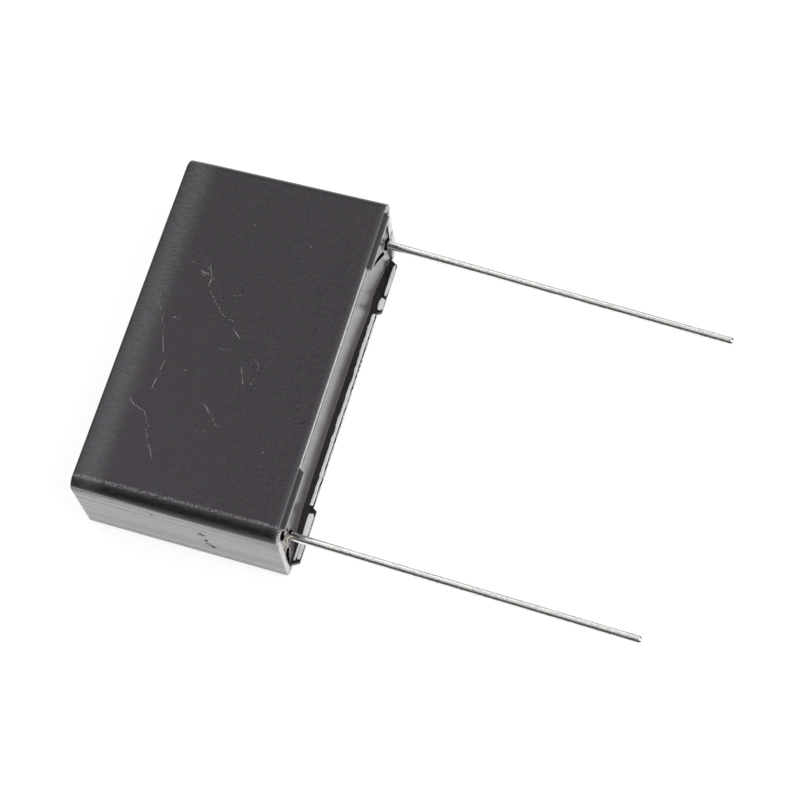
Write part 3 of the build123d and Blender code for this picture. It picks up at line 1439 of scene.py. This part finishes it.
@dataclass
class PalePools:
    """Pools on the back feet's inner faces, along X and Y, whose white is painted reflection, and films on
    the rim, along Y and Z, whose pale colour is partly painted glare.
    """

    case: MouldedCase
    flash_height: float
    pool_thickness: float = 0.04
    film_thickness: float = 0.06

    def build(self, bench: Bench, skin: Finish, film: Finish) -> None:
        """Models the pools on the feet as one piece and the films on the rim as another.

        Args:
            bench: Finishes the pieces.
            skin: Finish of the pools on the feet.
            film: Finish of the films on the rim.
        """
        feet = bmesh.new()
        for pool in FOOT_POOLS:
            lens(feet, (*pool.middle, self.case.wall), (*pool.half, self.pool_thickness))
        bench.finish(feet, "foot_pools_painted_reflection", skin, Slot.RESIN, RESIN_SHARP)
        rim = bmesh.new()
        for pools, lift in ((FLASH_POOLS, self.flash_height), (END_POOLS, 0.0)):
            for pool in pools:
                thickness = self.film_thickness + pool.swell
                lens(rim, (self.case.rim_x + lift, *pool.middle), (thickness, *pool.half))
        bench.finish(rim, "rim_films_and_glare", film, Slot.RESIN, RESIN_SHARP)


# Black lenses on the resin in the gaps beside the right lead: painted shade
SHADED_ROOT_GAPS = (
    Pool((-19.0, 10.9), (0.75, 1.0)),
    Pool((-18.35, 9.4), (0.5, 0.6)),
    Pool((-18.95, 5.1), (0.4, 0.45)),
    Pool((-19.25, 4.75), (0.5, 0.75)),
    Pool((-19.5, 4.1), (0.45, 0.85)),
    Pool((-19.64, 3.1), (0.33, 0.85)),
    Pool((-19.76, 2.1), (0.2, 0.8)),
)
# Black trails on the resin beside each lead: painted shade
SHADED_ROOT_TRAILS = (
    ((-17.2, 10.4), (-17.5, 10.0), (-18.0, 9.4)),
    ((15.2, 8.2), (16.0, 7.9), (16.8, 7.4), (17.5, 6.8), (17.95, 6.0)),
)
# Beads at the right lead's root, set where glints show: partly painted highlight
ROOT_BEADS = (
    Pool((-18.4, 7.6), (0.3, 0.34)),
    Pool((-19.05, 9.2), (0.22, 0.26)),
    Pool((-18.9, 8.1), (0.26, 0.24)),
    Pool((-18.85, 10.65), (0.28, 0.3)),
    Pool((-19.3, 6.75), (0.5, 0.16)),
    Pool((-18.8, 6.1), (0.4, 0.16)),
)


@dataclass
class LeadRoots:
    """Painted shade in the gaps that the resin has left round the leads and beside them, and pale beads whose
    beige stands partly for painted glints.
    """

    resin: ResinFill
    ring_radius: float = 0.64
    ring_tubes: Span = (0.17, 0.1)
    ring_sides: int = 10
    ring_steps: int = 40
    trail_width: float = 0.27
    trail_end: float = 0.45
    trail_stretch: float = 1.3
    trail_step: float = 0.1
    trail_fineness: int = 2
    gap_height: float = 0.05
    bead_height: float = 0.16

    def build(self, bench: Bench, black: Finish, beige: Finish) -> None:
        """Models the painted shade of the gaps as one piece and the beads as another.

        Args:
            bench: Finishes the pieces.
            black: Finish of the painted shade in the gaps.
            beige: Finish of the beads.
        """
        gaps = bmesh.new()
        for gap in SHADED_ROOT_GAPS:
            lens(gaps, self._on_resin(*gap.middle), (self.gap_height, *gap.half))
        for trail in SHADED_ROOT_TRAILS:
            self._trail(gaps, trail)
        for (lead_y, lead_z), tube in zip(self.resin.leads, self.ring_tubes):
            level = self.resin.height(lead_y, lead_z + self.ring_radius)
            self._ring(gaps, Vector((level, lead_y, lead_z)), tube)
        bench.finish(gaps, "root_gap_shade", black, Slot.RESIN, RESIN_SHARP)
        beads = bmesh.new()
        for bead in ROOT_BEADS:
            lens(beads, self._on_resin(*bead.middle), (self.bead_height, *bead.half))
        bench.finish(beads, "root_beads", beige, Slot.RESIN, RESIN_SHARP)

    def _on_resin(self, y: float, z: float) -> Point:
        """Place on the resin's surface at a point of the opening."""
        return self.resin.height(y, z), y, z

    def _trail(self, bm: BMesh, places: Sequence[FacePoint]) -> None:
        """Lays one unbroken black trail of painted shade along places of the resin's surface, thinner at its
        ends.
        """
        runs = list(zip(places, places[1:]))
        for index, (start, end) in enumerate(runs):
            count = max(2, round(math.dist(start, end) / self.trail_step))
            for step in range(count):
                share = step / count
                y, z = (near + share * (far - near) for near, far in zip(start, end))
                swell = math.sin(math.pi * (index + share) / len(runs))
                width = self.trail_width * (self.trail_end + (1.0 - self.trail_end) * swell)
                half = (self.gap_height, width, self.trail_stretch * width)
                lens(bm, self._on_resin(y, z), half, self.trail_fineness)

    def _ring(self, bm: BMesh, middle: Vector, tube: float) -> None:
        """Adds the painted shade in the gap round one wire, as a black ring of a tube."""
        verts = bmesh.ops.create_circle(bm, segments=self.ring_sides, radius=tube)["verts"]
        stand_up = Matrix.Rotation(QUARTER_TURN, 4, "X")
        place = Matrix.Translation(middle + Vector((0, 0, self.ring_radius))) @ stand_up
        bmesh.ops.transform(bm, matrix=place, verts=verts)
        edges = once(edge for vert in verts for edge in vert.link_edges)
        bmesh.ops.spin(
            bm, geom=verts + edges, cent=middle, axis=(1, 0, 0), angle=2 * math.pi,
            steps=self.ring_steps, use_merge=True,
        )
        bmesh.ops.recalc_face_normals(bm, faces=bm.faces[:])


@dataclass(frozen=True)
class Softbox:
    """Lamp that faces the part: its middle and size in millimetres, and its brightness, where 1 is white."""

    name: str
    place: Point
    size: FacePoint
    brightness: float


SOFTBOXES = (
    Softbox("overhead_softbox", (-90.0, 80.0, 420.0), (420.0, 560.0), 0.7),
    Softbox("key_softbox", (-210.0, 50.0, 400.0), (150.0, 150.0), 2.6),
    Softbox("far_softbox", (-40.0, 360.0, 310.0), (370.0, 370.0), 1.05),
    Softbox("lead_side_softbox", (270.0, -20.0, 350.0), (280.0, 280.0), 4.7),
)


@dataclass
class Studio:
    """Plain pale floor, soft overhead light and a camera at the photograph's viewing angle."""

    eye: Point = (55.2, -77.9, 230.0)
    target: Point = (19.1, 0.6, 7.1)
    roll: float = -8.54
    focal_length: float = 95.36
    sensor_width: float = 36.0
    clip: Span = (0.01, 20.0)
    floor_size: float = 4000.0
    floor_colour: Colour = (0.3, 0.3, 0.3)
    floor_glow: float = 0.84
    ambient: float = 0.12

    def build(self) -> None:
        """Sets up the floor, the light and the camera."""
        scene = bpy.context.scene
        scene.view_settings.view_transform = "Standard"
        self._world(scene)
        self._floor(scene)
        for softbox in SOFTBOXES:
            self._hang(scene, softbox)
        self._camera(scene)

    def _aim(self, place: Point) -> Quaternion:
        """Turn of a lamp or camera at a place that makes it face the part."""
        return (Vector(self.target) - Vector(place)).to_track_quat("-Z", "Y")

    def _world(self, scene: bpy.types.Scene) -> None:
        """Fills the room with dim even light."""
        world = bpy.data.worlds.new("room")
        world.use_nodes = True
        background = world.node_tree.nodes["Background"]
        background.inputs["Color"].default_value = (1.0, 1.0, 1.0, 1.0)
        background.inputs["Strength"].default_value = self.ambient
        scene.world = world

    def _floor(self, scene: bpy.types.Scene) -> None:
        """Lays the white floor, which shows the part's shadow and stands in its reflections."""
        bm = bmesh.new()
        bmesh.ops.create_grid(bm, x_segments=1, y_segments=1, size=self.floor_size * MM / 2)
        mesh = bpy.data.meshes.new("floor")
        bm.to_mesh(mesh)
        bm.free()
        floor = bpy.data.objects.new("floor", mesh)
        scene.collection.objects.link(floor)
        mesh.materials.append(self._floor_material())

    def _floor_material(self) -> Finish:
        """Makes the floor white to the camera and to reflections, with the shadow left in it."""
        material = bpy.data.materials.new("white_floor")
        material.use_nodes = True
        tree = material.node_tree
        tree.nodes.clear()
        output = tree.nodes.new("ShaderNodeOutputMaterial")
        both = tree.nodes.new("ShaderNodeAddShader")
        diffuse = tree.nodes.new("ShaderNodeBsdfDiffuse")
        diffuse.inputs["Color"].default_value = (*self.floor_colour, 1.0)
        glow = tree.nodes.new("ShaderNodeEmission")
        path = tree.nodes.new("ShaderNodeLightPath")
        mirrored = tree.nodes.new("ShaderNodeMath")
        mirrored.operation = "MAXIMUM"
        strength = tree.nodes.new("ShaderNodeMath")
        strength.operation = "MULTIPLY_ADD"
        strength.inputs[1].default_value = self.floor_glow
        for start, end in (
            (path.outputs["Is Glossy Ray"], mirrored.inputs[0]),
            (path.outputs["Is Transmission Ray"], mirrored.inputs[1]),
            (path.outputs["Is Camera Ray"], strength.inputs[0]),
            (mirrored.outputs["Value"], strength.inputs[2]),
            (strength.outputs["Value"], glow.inputs["Strength"]),
            (diffuse.outputs["BSDF"], both.inputs[0]),
            (glow.outputs["Emission"], both.inputs[1]),
            (both.outputs["Shader"], output.inputs["Surface"]),
        ):
            tree.links.new(start, end)
        return material

    def _hang(self, scene: bpy.types.Scene, softbox: Softbox) -> None:
        """Hangs a softbox that faces the part."""
        lamp = bpy.data.lights.new(softbox.name, "AREA")
        lamp.shape = "RECTANGLE"
        lamp.size, lamp.size_y = in_m(softbox.size)
        lamp.energy = softbox.brightness * math.pi * lamp.size * lamp.size_y
        holder = bpy.data.objects.new(softbox.name, lamp)
        holder.location = Vector(softbox.place) * MM
        holder.rotation_mode = "QUATERNION"
        holder.rotation_quaternion = self._aim(softbox.place)
        scene.collection.objects.link(holder)

    def _camera(self, scene: bpy.types.Scene) -> None:
        """Stands the camera where the photograph was taken from."""
        data = bpy.data.cameras.new("photo_camera")
        data.lens = self.focal_length
        data.sensor_width = self.sensor_width
        data.clip_start, data.clip_end = self.clip
        camera = bpy.data.objects.new("photo_camera", data)
        camera.location = Vector(self.eye) * MM
        camera.rotation_mode = "QUATERNION"
        roll = Matrix.Rotation(math.radians(self.roll), 3, "Z").to_quaternion()
        camera.rotation_quaternion = self._aim(self.eye) @ roll
        scene.collection.objects.link(camera)
        scene.camera = camera


def in_mm(corner: Vector) -> Vector:
    """Turns a corner of the frame from metres to millimetres."""
    return Vector(corner) / MM


def main() -> None:
    """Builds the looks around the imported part."""
    logging.basicConfig(level=logging.INFO, format="%(name)s: %(message)s")
    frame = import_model()
    bench = Bench()

    case_low, case_high = (in_mm(corner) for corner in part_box("case"))
    case = MouldedCase(case_low, case_high)
    resin_finish = CastResin().material()
    wire_finish = TinnedWire().material()

    leads = []
    for side, rim_y, sway in LEADS:
        low, high = (in_mm(corner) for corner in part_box(f"lead_{side.name.lower()}"))
        leads.append(WireLead(side, low, high, case.rim_x, rim_y, sway))

    spray_low, _ = (in_mm(corner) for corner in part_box("end_spray_right"))
    _, spray_high = (in_mm(corner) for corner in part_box("end_spray_left"))

    case.build(bench, CasePlastic().material())
    fill = ResinFill(case, [(lead.rim_y, lead.height) for lead in leads], spray_low, spray_high)
    fill.build(bench, resin_finish)
    for lead in leads:
        lead.build(bench, wire_finish)
    black = SmudgeAndShade().material()
    pale = PALE_GLARE_FINISH.material()
    film = RESIN_FILM_AND_GLARE.material()
    # Black flash standing on the back rim, which widens the dark band inside it: painted shade
    flash = RimStrip(
        "flash_back_painted_shade", case, Wall.BACK, seed=2.0, inner=0.02, outer=0.9, ragged=0.0, thickness=0.34, swing=0.08
    )
    flash.build(bench, black)
    # Black line along the front rim's inner edge: painted shade
    RimStrip("front_rim_painted_shade", case, Wall.FRONT, seed=8.0, inner=-0.12, outer=0.16).build(bench, black)
    # Pale line inside the back rim: painted highlight
    PaleLine("pale_line_painted_highlight", case, Wall.BACK, seed=5.0).build(bench, pale)
    # Film on the front rim, whose pale colour is painted glare
    RimStrip("pale_rim", case, Wall.FRONT, seed=3.0).build(bench, film)
    LeadRoots(fill).build(bench, black, CURED_BEAD_AND_GLINT.material())
    PalePools(case, flash.thickness).build(bench, pale, film)
    SurfaceMarks(case).build(bench, {MarkTone.PALE: SCUFFED_PLASTIC.material(), MarkTone.DARK: black})

    bench.dress(frame["nodes"]["film_winding"], WOUND_FILM.material())
    spray = SPRAYED_METAL.material()
    for node in ("end_spray_left", "end_spray_right"):
        bench.dress(frame["nodes"][node], spray)
    Studio().build()


if __name__ == "__main__":
    main()
